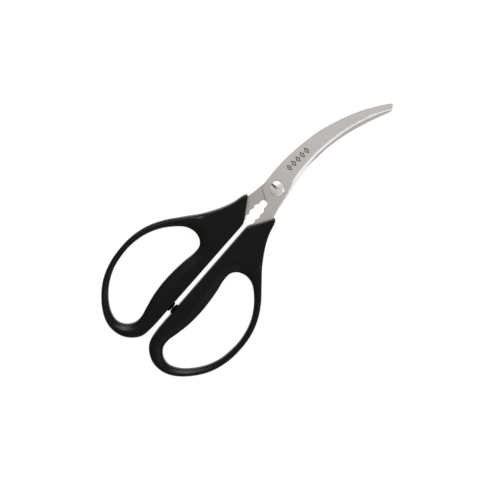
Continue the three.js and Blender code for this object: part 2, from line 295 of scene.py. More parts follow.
def plate(name, plan, top, bottom, wall=(), mirror=False, flow=None):
    """A closed body over a plan, between two heights at each of its points.

    wall is a list of (share of the way up, distance outwards) for the rings of the side walls.
    """
    points = plan.points
    count = len(points)
    verts = [np.column_stack([points, top]), np.column_stack([points, bottom])]
    faces = [tuple(t) for t in plan.triangles]
    faces += [tuple(int(i) + count for i in t[::-1]) for t in plan.triangles]
    total = 2 * count
    for loop, index in zip(plan.loops, plan.ring_index):
        index = np.array(index)
        rows = [index + count]
        for share, outwards in wall:
            xy = inset(loop, -outwards)
            z = mix(bottom[index], top[index], share)
            verts.append(np.column_stack([xy, z]))
            rows.append(np.arange(total, total + len(index)))
            total += len(index)
        rows.append(index)
        for low, high in zip(rows, rows[1:]):
            faces += list(zip(low, np.roll(low, -1), np.roll(high, -1), high))
    co = np.vstack(verts)
    if mirror:
        co[:, 0] *= -1
        faces = [f[::-1] for f in faces]
    obj = make_mesh(name, co, [tuple(int(i) for i in f) for f in faces])
    if flow is not None:
        add_flow(obj, flow)
    return obj


def make_mesh(name, co_mm, faces):
    """A mesh object from points in millimetres about the pivot."""
    mesh = bpy.data.meshes.new(name)
    mesh.from_pydata([tuple(PIVOT + Vector(p) * MM) for p in co_mm], [], faces)
    mesh.validate()
    mesh.update()
    obj = bpy.data.objects.new(name, mesh)
    bpy.context.scene.collection.objects.link(obj)
    return obj


def add_flow(obj, flow):
    """Stores how far along and across the piece each point is, in millimetres."""
    co = np.array([(v.co - PIVOT) / MM for v in obj.data.vertices])
    values = np.column_stack([*flow(co[:, :2]), co[:, 2]]).astype(np.float32)
    attribute = obj.data.attributes.new("flow", "FLOAT_VECTOR", "POINT")
    attribute.data.foreach_set("vector", values.ravel())


def smooth_shaded(obj, sharp_degrees):
    for polygon in obj.data.polygons:
        polygon.use_smooth = True
    obj.data.set_sharp_from_angle(angle=math.radians(sharp_degrees))


def skin(name, rings, closed=False, inside_out=False):
    """A body over rings of points that follow each other; a ring of one point is a pole."""
    count = max(len(ring) for ring in rings)
    verts, rows, faces = [], [], []
    for ring in rings:
        pole = len(ring) == 1
        rows.append([len(verts)] * count if pole else list(range(len(verts), len(verts) + count)))
        verts += [tuple(point) for point in ring]
    pairs = list(zip(rows, rows[1:]))
    if closed:
        pairs.append((rows[-1], rows[0]))
    for low, high in pairs:
        for i in range(count):
            j = (i + 1) % count
            face = [low[i], low[j], high[j], high[i]]
            faces.append(tuple(dict.fromkeys(face[::-1] if inside_out else face)))
    return make_mesh(name, verts, faces)


def axis_ring(radius, angles, along):
    """Points round an axis, as two places across it and one along; only one point at radius 0."""
    angles = angles if np.max(radius) > SAME_POINT else angles[:1]
    return np.broadcast_arrays(radius * np.cos(angles), radius * np.sin(angles), along)


def turned(name, profile, angles, **shape):
    """A body turned about the pivot's axis from (radius, height) points, which may vary by angle."""
    return skin(name, [np.column_stack(axis_ring(radius, angles, z)) for radius, z in profile], **shape)


# -------- outlines, in mm about the pivot

SEAT_GAP = 0.05
BLADE_THICKNESS = 2.2
TIP_THICKNESS = 1.5
TAPER_START_Y = 15
TIP_Y = 80.5
EDGE_THICKNESS = 0.08
EDGE_BREAK = 0.13
PIVOT_HOLE_RADIUS = 2.65
PIVOT_HOLE_COUNT = 64
FACE_SLOT, BEVEL_SLOT, CUT_SLOT = range(3)

CONVEX_SPINE = [
    (-7.3, -4.85), (-7.6, -2.4), (-7.85, 2), (-8, 8.9), (-7.75, 15.9), (-6.85, 24), (-5.45, 32.7),
    (-3.5, 41.2), (-0.65, 49.4), (2.9, 57.9), (7.2, 66.1), (11.75, 73.1), (15.75, 78.5),
]
CONCAVE_SPINE = [
    (6.8, -5.05), (7.15, -1.1), (7.2, 3), (6.5, 6.95), (5.9, 13.6), (5.6, 20.5), (5.6, 27.3), (6.2, 35.1),
    (7.7, 42.9), (9.95, 51.2), (12.8, 59.4), (16.3, 67.9), (19.75, 75.4),
]
RELIEF_LINE = [(6.4, -2.5), (5.7, 2), (4.95, 7), (4.3, 13.6), (4.35, 18), (4.75, 22.4), (5.45, 28)]
UPPER_EDGE = [
    (4.7, 7.3), (4.6, 14.6), (4.5, 22.4), (4.65, 29.3), (5.3, 35.6), (6.3, 42), (7.6, 48.2), (9.35, 54.6),
    (11.3, 60.4), (13.85, 66.5), (16.8, 72.4), (19.35, 76.8),
]
UPPER_BEVEL = [
    (4.55, 7.7), (3.8, 9.3), (3.05, 14.7), (2.8, 22.5), (3, 29.4), (3.65, 35.8), (4.6, 42.1), (5.9, 48.3),
    (7.65, 54.7), (9.6, 60.5), (12.25, 66.6), (15.25, 72.65), (19, 79.25),
]
LOWER_EDGE = [
    (-6.4, 7.3), (-6.4, 15.8), (-5.5, 23.9), (-4.1, 32.7), (-2.15, 41.2), (0.7, 49.3), (4.15, 57.5),
    (8.35, 65.4), (13, 72.4), (17, 77.75),
]
LOWER_BEVEL = [
    (-6.2, 7.7), (-5.5, 9.3), (-5, 15.8), (-4.05, 24.1), (-2.7, 33), (-0.8, 41.6), (2.05, 50),
    (5.4, 58.1), (9.55, 66.2), (14.05, 73.2), (18.15, 79),
]
UPPER_TIP = [(15.75, 78.5), (16.85, 79.85), (17.45, 80.4), (18.05, 80.5), (18.5, 80.05)]
UPPER_CORNER = (20.15, 78.05)
UPPER_BEYOND_TIP = [(20.5, 78.4), (19.3, 79.85)]
LOWER_TIP = [(19.75, 75.4), (20.25, 76.7), (20.35, 77.3), (20.1, 77.85)]
LOWER_TIP_END = (18.55, 79.8)
LOWER_CORNER = (18.2, 79.35)
SHOULDER = [(7.9, -4.95), (8.4, -8.4), (8.9, -11.05), (9.5, -13.8)]
UPPER_RICASSO = [(4.7, 7.3), (6.35, 3.7), (7.15, 0.45), (7.65, -3)] + SHOULDER
LOWER_RICASSO = [(-6.4, 7.3), (-7.1, 3.85), (-7.3, 0), (-7.5, -3.5)] + [(-x, y) for x, y in SHOULDER]
NOTCH_TOP = (0, -9.85)
NOTCH_ARC_Y = -12.1
NOTCH_RADIUS = 2.25
NOTCH_TEETH = [(1.85, -13.6), (2.6, -17.75), (2.4, -21.9), (1.9, -26.05)]
SCALLOP_DEPTH = 0.95
HEEL_LINE = [CONVEX_SPINE[0], NOTCH_TOP]
HEEL_BAND = [(-7.55, 1.05), (2.3, -8.25)]
HEEL_REGION = [(-7.75, 1.25), (-7.5, -5.05), (0, -10.05), (1.4, -10.3), (2.3, -8.25)]
TANG_OUTER = [(9.5, -13.8), (10.1, -17), (10, -26), (9.4, -40), (8.8, -55)]
TANG_END = (6.8, -55)
TANG_END_RADIUS = 2
TANG_INNER = [(4.8, -55), (4, -40), (3.2, -29.5), (1.9, -26.05)]
# The line that a blade's grain follows.
UPPER_GUIDE = [
    (7, -58), (7, -30), (5, -15), (1, -4), (-1.4, 8), (-1.3, 25), (0.8, 42), (5.2, 57), (12, 71), (20, 84),
]
LOWER_GUIDE = [(-x, y) for x, y in UPPER_GUIDE[:4]] + UPPER_GUIDE[4:]

HANDLE_OUTSIDE = [
    (12.4, -17), (13.9, -22.8), (17.2, -30.2), (23.2, -39.7), (30.8, -49), (37.4, -57.1), (42.2, -65.3),
    (45.2, -74.2), (46.35, -84), (45.5, -96), (42, -106.8), (36.3, -115.4), (28.9, -122.4), (23, -125.5),
    (17.4, -126.37), (11.5, -125.3), (6.2, -121.9), (3, -117.5), (1.8, -110), (1.5, -101),
]
GAP_EDGE = [(1.6, -101), (1.4, -29.8)]
HANDLE_CORNER = [(1.4, -29.8), (1.65, -28), (2.45, -26.4)]
HANDLE_FRONT = [(2.45, -26.4), (9.5, -15.2)]
HANDLE_TIP = [(9.5, -15.2), (10.1, -14.45), (10.75, -14.2), (11.45, -14.8), (12.4, -17)]
HANDLE_HOLE = [
    (14.1, -85.4), (13.8, -76.5), (12.9, -68), (11.7, -60.5), (12.1, -55.4), (14.7, -52.1), (19.4, -50.4),
    (25.1, -51.5), (30.5, -55.7), (36.4, -62.8), (40.6, -71.1), (42.8, -81), (42.8, -89), (41.4, -97.9),
    (37.5, -107), (31.9, -114.3), (25.8, -119.1), (19.9, -120.9), (15, -119.4), (11.3, -115.1),
    (10.5, -110), (11.8, -103.5), (13.4, -95),
]

# -------- handles

GRIP_HALF = 5.2
BOW_HALF = 3.9
NOSE_THINNING = 0.45
CROWN = 0.22
CROWN_WIDTH = 7
HOLE_MIDDLE = (27, -87)
GRIP_SHOULDER_Y = -41
GRIP_SHOULDER_SPREAD = 2.6
PARTING_RIDGE = 0.04
MOULDING_INSET = 0.02
HANDLE_RINGS = (0.035, 0.13, 0.28, 0.5, 0.78, 1.1)
HANDLE_GRID = 0.85
HANDLE_WALL = (
    (0.2, 0), (0.455, 0), (0.485, PARTING_RIDGE), (0.515, PARTING_RIDGE), (0.545, 0), (0.8, 0),
)
# The rounding of the handle's edges, as (how far in it reaches, how deep it goes).
ROUND_SHARE = 0.9
GRIP_ROUND = (2.3, 2.9)
UPPER_ROUND = (0.6, 0.75)
GAP_ROUND = (1, 1.2)
BOW_ROUND = (1.65, 2.7)
FRONT_ROUND = (0.9, 0.85)
HOLE_ROUND = (0.45, 0.5)
# Where each stretch fades in, for smoothstep: degrees round the finger hole, or mm along X or Y.
BOW_FROM = (101, 68)
BOW_TO = (-134, -92)
THIN_BOW_TO = (-76, -45)
GAP_X = (7, 2.5)
GAP_Y = (-121, -112)
NOSE_Y = (-42, -15)
UPPER_Y = (-66, -56)
# Round the finger hole, in degrees from +X: how wide and how deep its edge is scooped.
SCOOP_ANGLES = [40, 70, 90, 115, 145, 165, 182, 200, 225, 255, 285, 310, 335]
SCOOP_WIDTHS = [1.6, 2.6, 4.2, 5.4, 5.8, 5.2, 4.4, 3.8, 3.6, 3.4, 2.8, 2.3, 1.6]
SCOOP_DEPTHS = [0, 0.5, 1.3, 1.4, 1.6, 1.8, 1.9, 1.7, 1.8, 1.8, 1.5, 0.9, 0]
SCOOP_POWER = 1.3


def round_table(angles, knots, values, spread=9):
    """Values between knots round a circle, smoothed, for angles in degrees."""
    grid = np.arange(360)
    raw = np.interp(grid, knots, values, period=360)
    offsets = np.arange(-3 * spread, 3 * spread + 1)
    weights = np.exp(-((offsets / spread) ** 2) / 2)
    weights /= weights.sum()
    soft = sum(w * np.roll(raw, -o) for w, o in zip(weights, offsets))
    return np.interp(angles % 360, grid, soft, period=360)


def rounding(gap, radius, depth):
    """How far a rounded edge has dropped at this distance in from it; it stops short of vertical."""
    t = ROUND_SHARE * (1 - np.clip(gap / radius, 0, 1))
    return depth * (1 - np.sqrt(1 - t * t))


def outer_rounding(to_outside, to_front, upper, gap_side, bow):
    """The drop at the handle's outer edge, which is softest on the grip and sharpest above the hole."""
    radius, depth = (
        mix(mix(mix(grip, top, upper), gap, gap_side), bowed, bow)
        for grip, top, gap, bowed in zip(GRIP_ROUND, UPPER_ROUND, GAP_ROUND, BOW_ROUND)
    )
    outside, front = rounding(to_outside, radius, depth), rounding(to_front, *FRONT_ROUND)
    return (outside**3 + front**3) ** (1 / 3)


def hole_rounding(to_hole, angle):
    """The drop at the finger hole's edge: a scoop for the fingers and a small rounding."""
    width = round_table(angle, SCOOP_ANGLES, SCOOP_WIDTHS)
    depth = round_table(angle, SCOOP_ANGLES, SCOOP_DEPTHS)
    scoop = depth * np.clip(1 - to_hole / width, 0, 1) ** SCOOP_POWER
    thin = smoothstep(*BOW_FROM, angle) * smoothstep(*THIN_BOW_TO, angle)
    radius, depth = (mix(hole, bowed, thin) for hole, bowed in zip(HOLE_ROUND, BOW_ROUND))
    return scoop + rounding(to_hole, radius, depth)


def handle_half_thickness(points, outside, front, hole):
    x, y = points[:, 0], points[:, 1]
    to_outside, to_front, to_hole = (distance(points, line) for line in (outside, front, hole))
    angle = np.degrees(np.arctan2(y - HOLE_MIDDLE[1], x - HOLE_MIDDLE[0]))
    bow = smoothstep(*BOW_FROM, angle) * smoothstep(*BOW_TO, angle)
    gap_side = smoothstep(*GAP_X, x) * smoothstep(*GAP_Y, y)
    shoulder = np.exp(-(((y - GRIP_SHOULDER_Y) / GRIP_SHOULDER_SPREAD) ** 2))
    upper = smoothstep(*UPPER_Y, y) * (1 - shoulder)
    half = mix(GRIP_HALF, BOW_HALF, bow) - NOSE_THINNING * smoothstep(*NOSE_Y, y)
    nearest = np.minimum(np.minimum(to_outside, to_front), to_hole)
    crown = CROWN * (1 - bow) * (1 - smoothstep(0, CROWN_WIDTH, nearest))
    outer = outer_rounding(to_outside, to_front, upper, gap_side, bow)
    return half - outer - hole_rounding(to_hole, angle) - crown


def make_handles():
    outside, corner, tip = catmull(HANDLE_OUTSIDE), catmull(HANDLE_CORNER), catmull(HANDLE_TIP)
    hole = closed_line(catmull(HANDLE_HOLE, closed=True))
    outline = joined_loop([(outside, 0.62), (GAP_EDGE, 0.7), (corner, 0.3), (HANDLE_FRONT, 0.5), (tip, 0.22)])
    loops = [
        inset(anticlockwise(outline), MOULDING_INSET),
        inset(anticlockwise(respaced(hole, 0.58)[:-1]), -MOULDING_INSET),
    ]
    plan = Plan(loops[0], loops[1:], HANDLE_RINGS, grid=HANDLE_GRID)
    outside = respaced(np.vstack([outside, GAP_EDGE, corner]), 0.5)
    front = respaced(np.vstack([HANDLE_FRONT, tip]), 0.4)
    half = handle_half_thickness(plan.points, outside, front, respaced(hole, 0.5))
    made = {}
    for side in ("right", "left"):
        obj = plate(f"{side}_handle_moulding", plan, half, -half, HANDLE_WALL, mirror=side == "left")
        smooth_shaded(obj, sharp_degrees=60)
        made[side] = obj
    return made


# -------- blades

BLADE_RINGS = (0.06, EDGE_BREAK)
BEVEL_HOLLOW = 0.82
# A pair says where a change starts and where it is complete, for smoothstep.
HOLLOW = 0.12
HOLLOW_FROM_Y = (9, 20)
HOLLOW_FROM_RIM = (1.2, 3.2)
HEEL_DROP = 0.3
HEEL_FADE_X = (2.7, 0.6)
SHOULDER_DROP = 0.32
SHOULDER_WIDTH = 0.9
SHOULDER_TANG_WIDTH = 0.5
SHOULDER_RINGS = (0.3, 0.6, 0.9)
SHOULDER_TOP_Y = 5.2
SHOULDER_WIDENS_Y = (-12, 5)
SHOULDER_FADE_Y = (8.5, 5)
RELIEF_START_SLOPE, RELIEF_SLOPE = 1, 1.05
RELIEF_STEEPENS_Y = (4, 14)
RELIEF_FULL_Y = 3
RELIEF_LOWEST = -1.7
# A face is a cut edge if the upright part of its normal is less than this.
CUT_LEVEL = 0.3
FACE_CLEARANCE = 0.03


def scallops():
    """The notch's side on the right-hand tang, from its round top to the handle."""
    line = [arc(0, NOTCH_ARC_Y, NOTCH_RADIUS, 90, -10)]
    for (x0, y0), (x1, y1) in zip(NOTCH_TEETH, NOTCH_TEETH[1:]):
        t = np.linspace(0, 1, 15)
        x = mix(x0, x1, t) + SCALLOP_DEPTH * np.sin(np.pi * t)
        line.append(np.stack([x, mix(y0, y1, t)], 1))
    return np.vstack(line)


def tang_parts(side):
    """The tang's outline from its outer shoulder round to the notch's top; side is 1 or -1."""
    flip = np.array([side, 1])
    return [
        (np.array(TANG_OUTER) * flip, 0.8),
        (arc(*TANG_END, TANG_END_RADIUS, 0, -180) * flip, 0.5),
        (np.array(TANG_INNER) * flip, 0.8),
        ((scallops() * flip)[::-1], 0.27),
    ]


def blade_plan(spine, tip, edge, ricasso, side, creases):
    outline = joined_loop([
        (catmull(spine), 0.6), (tip, 0.3), (catmull(edge)[::-1], 0.5), (catmull(ricasso), 0.5),
        *tang_parts(side), ([NOTCH_TOP, spine[0]], 0.5),
    ])
    return Plan(outline, [circle(PIVOT_HOLE_RADIUS, PIVOT_HOLE_COUNT)], BLADE_RINGS, creases)


def unsharpened(spine, tip, ricasso, side):
    """The blade's outline apart from its cutting edge."""
    tang = [line for line, _ in tang_parts(side)]
    return np.vstack([curve(ricasso), *tang, [spine[0]], curve(spine), tip[:-1]])


def blade_faces(plan, edge, bevel, strip, rest):
    """Heights of both faces above the blades' meeting plane, and which points lie in the ground strip.

    The strip is the bevel's region, between the edge and the bevel line.
    """
    points = plan.points
    y = points[:, 1]
    thinning = BLADE_THICKNESS - TIP_THICKNESS
    outer = BLADE_THICKNESS - thinning * np.clip((y - TAPER_START_Y) / (TIP_Y - TAPER_START_Y), 0, 1)
    to_edge, to_bevel = distance(points, edge), distance(points, bevel)
    ground = inside(points, strip) | (to_edge < ON_LINE)
    share = to_edge / np.maximum(to_edge + to_bevel, SAME_POINT)
    outer = np.where(ground, mix(EDGE_THICKNESS, outer, share**BEVEL_HOLLOW), outer)
    broken = np.clip(EDGE_BREAK - distance(points, rest), 0, EDGE_BREAK)
    outer = np.maximum(outer - broken, np.minimum(outer, EDGE_THICKNESS))
    mating = HOLLOW * smoothstep(*HOLLOW_FROM_Y, y) * smoothstep(*HOLLOW_FROM_RIM, plan.edge_distance(points))
    return outer, mating, ground


def flow_along(guide, batch=2000):
    """A function from points to places along and across a guide line, for the grain of the steel."""
    line = curve(guide)
    lengths = np.arange(len(line)) * np.linalg.norm(line[1] - line[0])
    ahead = np.gradient(line, axis=0)
    ahead /= np.linalg.norm(ahead, axis=1)[:, None]

    def flow(points):
        made = []
        for i in range(0, len(points), batch):
            p = points[i : i + batch]
            near = ((p[:, None] - line) ** 2).sum(2).argmin(1)
            (gap_x, gap_y), (x, y) = (p - line[near]).T, ahead[near].T
            made.append([lengths[near] + gap_x * x + gap_y * y, x * gap_y - y * gap_x])
        return np.hstack(made)

    return flow


def paint_faces(obj, slot_index, chosen):
    """Gives the faces chosen by their middles and how level they lie another material slot."""
    middles = np.array([(f.center - PIVOT) / MM for f in obj.data.polygons])
    level = np.array([abs(f.normal.z) for f in obj.data.polygons])
    flags = chosen(middles[:, :2], middles[:, 2], level)
    for polygon, flag in zip(obj.data.polygons, flags):
        if flag:
            polygon.material_index = slot_index


def shoulder_drop(points, ricasso):
    """How far the upper blade's outer face rolls off along the unsharpened edge beside the pivot."""
    y = points[:, 1]
    width = mix(SHOULDER_TANG_WIDTH, SHOULDER_WIDTH, smoothstep(*SHOULDER_WIDENS_Y, y))
    roll = np.clip(1 - distance(points, ricasso) / width, 0, 1)
    return SHOULDER_DROP * width / SHOULDER_WIDTH * roll**2 * smoothstep(*SHOULDER_FADE_Y, y)


def heel_drop(points, band):
    """How far the upper blade's outer face falls from a line across it to its heel."""
    to_heel, to_band = distance(points, np.array(HEEL_LINE, float)), distance(points, band)
    share = to_band / np.maximum(to_band + to_heel, SAME_POINT)
    falling = np.where(inside(points, np.array(HEEL_REGION)), share, 0)
    return HEEL_DROP * falling * smoothstep(*HEEL_FADE_X, points[:, 0])


def make_upper_blade():
    tip = np.vstack([catmull(UPPER_TIP), [UPPER_CORNER], [UPPER_EDGE[-1]]])
    bevel, ricasso, band = curve(UPPER_BEVEL), curve(UPPER_RICASSO), respaced(HEEL_BAND, 0.5)
    shoulder = ricasso[ricasso[:, 1] < SHOULDER_TOP_Y]
    creases = [bevel, band[:-1]] + [beside(shoulder, -amount) for amount in SHOULDER_RINGS]
    plan = blade_plan(CONVEX_SPINE, tip, UPPER_EDGE, UPPER_RICASSO, 1, creases)
    edge = np.vstack([curve(UPPER_EDGE), [UPPER_CORNER]])
    strip = np.vstack([edge, UPPER_BEYOND_TIP, bevel[::-1]])
    rest = unsharpened(CONVEX_SPINE, tip, UPPER_RICASSO, 1)
    outer, mating, ground = blade_faces(plan, edge, bevel, strip, rest)
    outer = np.where(ground, outer, outer - shoulder_drop(plan.points, ricasso))
    outer = SEAT_GAP + outer - heel_drop(plan.points, band)
    obj = plate("upper_blade_steel", plan, outer, SEAT_GAP + mating, flow=flow_along(UPPER_GUIDE))
    paint_faces(obj, CUT_SLOT, lambda p, z, level: level < CUT_LEVEL)
    paint_faces(obj, BEVEL_SLOT, lambda p, z, level: inside(p, strip) & (z > SEAT_GAP + FACE_CLEARANCE))
    smooth_shaded(obj, sharp_degrees=22)
    return obj


def make_lower_blade():
    tip = np.vstack([catmull(LOWER_TIP), [LOWER_TIP_END], [LOWER_CORNER], [LOWER_EDGE[-1]]])
    bevel, spine, relief_line = curve(LOWER_BEVEL), curve(CONCAVE_SPINE), curve(RELIEF_LINE)
    relief_start, relief_end = relief_line[0, 1], relief_line[-1, 1]
    relieved = spine[(spine[:, 1] > relief_start) & (spine[:, 1] < relief_end)]
    relief = np.vstack([relieved, relief_line[::-1]])
    plan = blade_plan(CONCAVE_SPINE, tip, LOWER_EDGE, LOWER_RICASSO, -1, [bevel, relief_line])
    edge = np.vstack([curve(LOWER_EDGE), [LOWER_CORNER]])
    strip = np.vstack([edge, bevel[::-1]])
    rest = unsharpened(CONCAVE_SPINE, tip, LOWER_RICASSO, -1)
    outer, mating, _ = blade_faces(plan, edge, bevel, strip, rest)
    y = plan.points[:, 1]
    in_relief = inside(plan.points, relief) | (distance(plan.points, relieved) < ON_LINE)
    slope = mix(RELIEF_START_SLOPE, RELIEF_SLOPE, smoothstep(*RELIEF_STEEPENS_Y, y))
    slope = slope * smoothstep(relief_start, RELIEF_FULL_Y, y)
    mating = -SEAT_GAP - mating - slope * np.where(in_relief, distance(plan.points, relief_line), 0)
    obj = plate("lower_blade_steel", plan, mating, -SEAT_GAP - outer, flow=flow_along(LOWER_GUIDE))
    paint_faces(obj, CUT_SLOT, lambda p, z, level: level < CUT_LEVEL)
    paint_faces(obj, BEVEL_SLOT, lambda p, z, level: inside(p, strip) & (z < -SEAT_GAP - FACE_CLEARANCE))
    paint_faces(
        obj, BEVEL_SLOT, lambda p, z, level: inside(p, relief) & (z > RELIEF_LOWEST) & (level > CUT_LEVEL),
    )
    smooth_shaded(obj, sharp_degrees=22)
    return obj


# -------- pivot screw, washer and nut

ROUND_COUNT = 96
SCREW_RADIUS = 4.3
SCREW_UNDERSIDE = 2.3
SCREW_RIM = 0.7
SCREW_DOME = 0.62
SCREW_EDGE_ROUND = 0.25
SCREW_RINGS = (0.05, 0.11, 0.18, 0.26)
SCREW_GRID = 0.24
CHORD_GAP = 0.03
SLOT_HALF = 0.64
SLOT_DEPTH = 0.5
SLOT_LIP = 0.1
SLOT_LIP_DROP = 0.08
SLOT_MARGIN = 1e-4
GROOVE_MARGIN = 0.01
HEAD_SLOT, GROOVE_SLOT = range(2)
SHANK_RADIUS = 2.5
SHANK_END = -4.92
SHANK_CHAMFER = 0.35
SHANK_PLAIN_FROM = -2.2
SHANK_OVERLAP = 0.02
THREAD_DEPTH = 0.12
THREAD_STEP = 0.2
THREAD_POINTS = 12
WASHER_BORE = 2.65
WASHER_RADIUS = 4.2
WASHER_TOP = -2.3
WASHER_THICKNESS = 0.35
WASHER_DISH = 0.12
WASHER_EASE = 0.07
NUT_BORE = 2.62
NUT_BORE_CHAMFER = 0.35
NUT_TOP = -2.82
NUT_BOTTOM = -4.97
NUT_APOTHEM = 4.0
NUT_BREAK = 0.06
NUT_FACE_RADIUS = 3.94
NUT_CONE = 0.42
NUT_LEAST = 0.03
NUT_TURN = math.radians(13)


def head_height(radius):
    """The screw head's domed top with a rounded rim."""
    share = np.clip(radius / SCREW_RADIUS, 0, 1)
    dome = SCREW_DOME * (1 - share**2)
    rim = rounding(SCREW_RADIUS - radius, SCREW_EDGE_ROUND, SCREW_EDGE_ROUND)
    return SCREW_UNDERSIDE + SCREW_RIM + dome - rim


def make_screw_head():
    """The slotted, domed head, as heights over a disc."""
    creases = []
    for offset in (-SLOT_HALF - SLOT_LIP, -SLOT_HALF, SLOT_HALF, SLOT_HALF + SLOT_LIP):
        half_chord = math.sqrt(SCREW_RADIUS**2 - offset**2) - CHORD_GAP
        creases.append(respaced([(-half_chord, offset), (half_chord, offset)], 0.2))
    plan = Plan(circle(SCREW_RADIUS, ROUND_COUNT), (), SCREW_RINGS, creases, grid=SCREW_GRID)
    dome = head_height(np.linalg.norm(plan.points, axis=1))
    across = np.abs(plan.points[:, 1])
    lip = np.clip((across - SLOT_HALF) / SLOT_LIP, 0, 1)
    floor = SCREW_UNDERSIDE + SCREW_RIM + SCREW_DOME - SLOT_DEPTH
    in_slot = across <= SLOT_HALF + SLOT_MARGIN
    top = np.where(in_slot, np.minimum(floor, dome), dome - SLOT_LIP_DROP * (1 - lip) ** 2)
    obj = plate("pivot_screw_head", plan, top, np.full(len(top), SCREW_UNDERSIDE))
    groove, above = SLOT_HALF + GROOVE_MARGIN, SCREW_UNDERSIDE + 0.1
    paint_faces(obj, GROOVE_SLOT, lambda p, z, level: (abs(p[:, 1]) < groove) & (z > above))
    smooth_shaded(obj, sharp_degrees=35)
    return obj


def make_screw_shank():
    """The shank through both blades, with turned grooves for its thread."""
    thread_end, top = SHANK_END + SHANK_CHAMFER, SCREW_UNDERSIDE + SHANK_OVERLAP
    thread = [
        (SHANK_RADIUS - THREAD_DEPTH * (i % 2), thread_end + THREAD_STEP * i) for i in range(THREAD_POINTS)
    ]
    profile = [
        (0, SHANK_END), (SHANK_RADIUS - SHANK_CHAMFER, SHANK_END), *thread,
        (SHANK_RADIUS, SHANK_PLAIN_FROM), (SHANK_RADIUS, top), (0, top),
    ]
    obj = turned("pivot_screw_shank", profile, round_angles(ROUND_COUNT))
    smooth_shaded(obj, sharp_degrees=40)
    return obj


def eased(radius, z, outwards, up, level_first):
    """Three points that ease a washer's corner, whose sharp point is at this radius and height."""
    middle = 0.3 * WASHER_EASE
    points = [
        (radius, z - up * WASHER_EASE), (radius - outwards * middle, z - up * middle),
        (radius - outwards * WASHER_EASE, z),
    ]
    return points[::-1] if level_first else points


def make_washer():
    """The dished spring washer: its rim bears on the lower blade, and its bore on the nut."""
    rim_low, bore_high = WASHER_TOP - WASHER_THICKNESS, WASHER_TOP - WASHER_DISH
    profile = [
        *eased(WASHER_BORE, rim_low - WASHER_DISH, -1, -1, False),
        *eased(WASHER_RADIUS, rim_low, 1, -1, True),
        *eased(WASHER_RADIUS, WASHER_TOP, 1, 1, False),
        *eased(WASHER_BORE, bore_high, -1, 1, True),
    ]
    obj = turned("pivot_washer_steel", profile, round_angles(ROUND_COUNT), closed=True)
    smooth_shaded(obj, sharp_degrees=35)
    return obj


def make_nut():
    """A hexagon nut on the underside, its corners cut back by a cone on the outer face."""
    sixth = math.radians(60)
    angles = round_angles(ROUND_COUNT)
    hexagon = NUT_APOTHEM / np.cos(angles % sixth - sixth / 2)
    corner = NUT_APOTHEM / math.cos(sixth / 2)
    cone = NUT_BOTTOM + NUT_CONE * (hexagon - NUT_FACE_RADIUS) / (corner - NUT_APOTHEM)
    profile = [
        (NUT_BORE, NUT_TOP),
        (hexagon - NUT_BREAK, NUT_TOP),
        (hexagon, NUT_TOP - NUT_BREAK),
        (hexagon, np.maximum(cone, NUT_BOTTOM + NUT_LEAST)),
        (np.minimum(hexagon - NUT_LEAST, NUT_FACE_RADIUS), NUT_BOTTOM),
        (NUT_BORE + NUT_BORE_CHAMFER, NUT_BOTTOM),
        (NUT_BORE, NUT_BOTTOM + NUT_BORE_CHAMFER),
    ]
    obj = turned("pivot_nut_steel", profile, angles + NUT_TURN, closed=True, inside_out=True)
    smooth_shaded(obj, sharp_degrees=25)
    return obj


# -------- stop bumpers

BUMPER_Y = -93.4
BUMPER_BLUNTNESS = 0.5
BUMPER_RADIUS = 3.2
BUMPER_BASE_X = 1.42
BUMPER_TOP_X = 0.052
BUMPER_STEM_RADIUS = 1.6
BUMPER_STEM = 4.5
BUMPER_SKIRT = 0.25
BUMPER_CHAMFER = 0.3
BUMPER_COUNT = 72


def make_bumper(side):
    """A soft button in a handle's inner edge, domed towards the other handle, with its stem.

    side is 1 for the right-hand handle and -1 for the left.
    """
    height, skirt = BUMPER_BASE_X - BUMPER_TOP_X, BUMPER_BASE_X + BUMPER_SKIRT
    end = BUMPER_BASE_X + BUMPER_STEM
    profile = [
        (BUMPER_RADIUS * math.sin(a), BUMPER_BASE_X - height * math.cos(a) ** BUMPER_BLUNTNESS)
        for a in np.linspace(0, math.pi / 2, 15)
    ]
    profile += [
        (BUMPER_RADIUS, skirt), (BUMPER_STEM_RADIUS, skirt), (BUMPER_STEM_RADIUS, end - BUMPER_CHAMFER),
        (BUMPER_STEM_RADIUS - BUMPER_CHAMFER, end), (0, end),
    ]
    rings = []
    for radius, along in profile:
        y, z, x = axis_ring(radius, round_angles(BUMPER_COUNT), along)
        rings.append(np.column_stack([side * x, BUMPER_Y + y, z]))
    obj = skin(f"{'right' if side > 0 else 'left'}_bumper_rubber", rings, inside_out=side < 0)
    smooth_shaded(obj, sharp_degrees=40)
    return obj


# -------- materials

ETCH_START = (-2.85, 12.2)
ETCH_TURN = math.radians(-3.7)
ETCH_COUNT = 5
ETCH_PITCH = 3.5
ETCH_HALF_LENGTH = 1.45
ETCH_HALF_WIDTH = 2.2
ETCH_COLOUR = (0.07, 0.066, 0.063)
ETCH_ROUGHER = 0.15
# A lozenge is a rim round a solid middle, as shares of its half size, with edges this soft.
LOZENGE_OUTER, LOZENGE_INNER, LOZENGE_MIDDLE, LOZENGE_SOFTNESS = 1, 0.54, 0.26, 0.04
# Near the handles the blades' faces are painted darker between these two heights: painted shade.
ROOT_START_Y, ROOT_END_Y = -8, 12
UPPER_ROOT_PAINTED_SHADE = (0.9, 0.9, 0.875)
LOWER_ROOT_PAINTED_SHADE = (0.965, 0.97, 0.93)
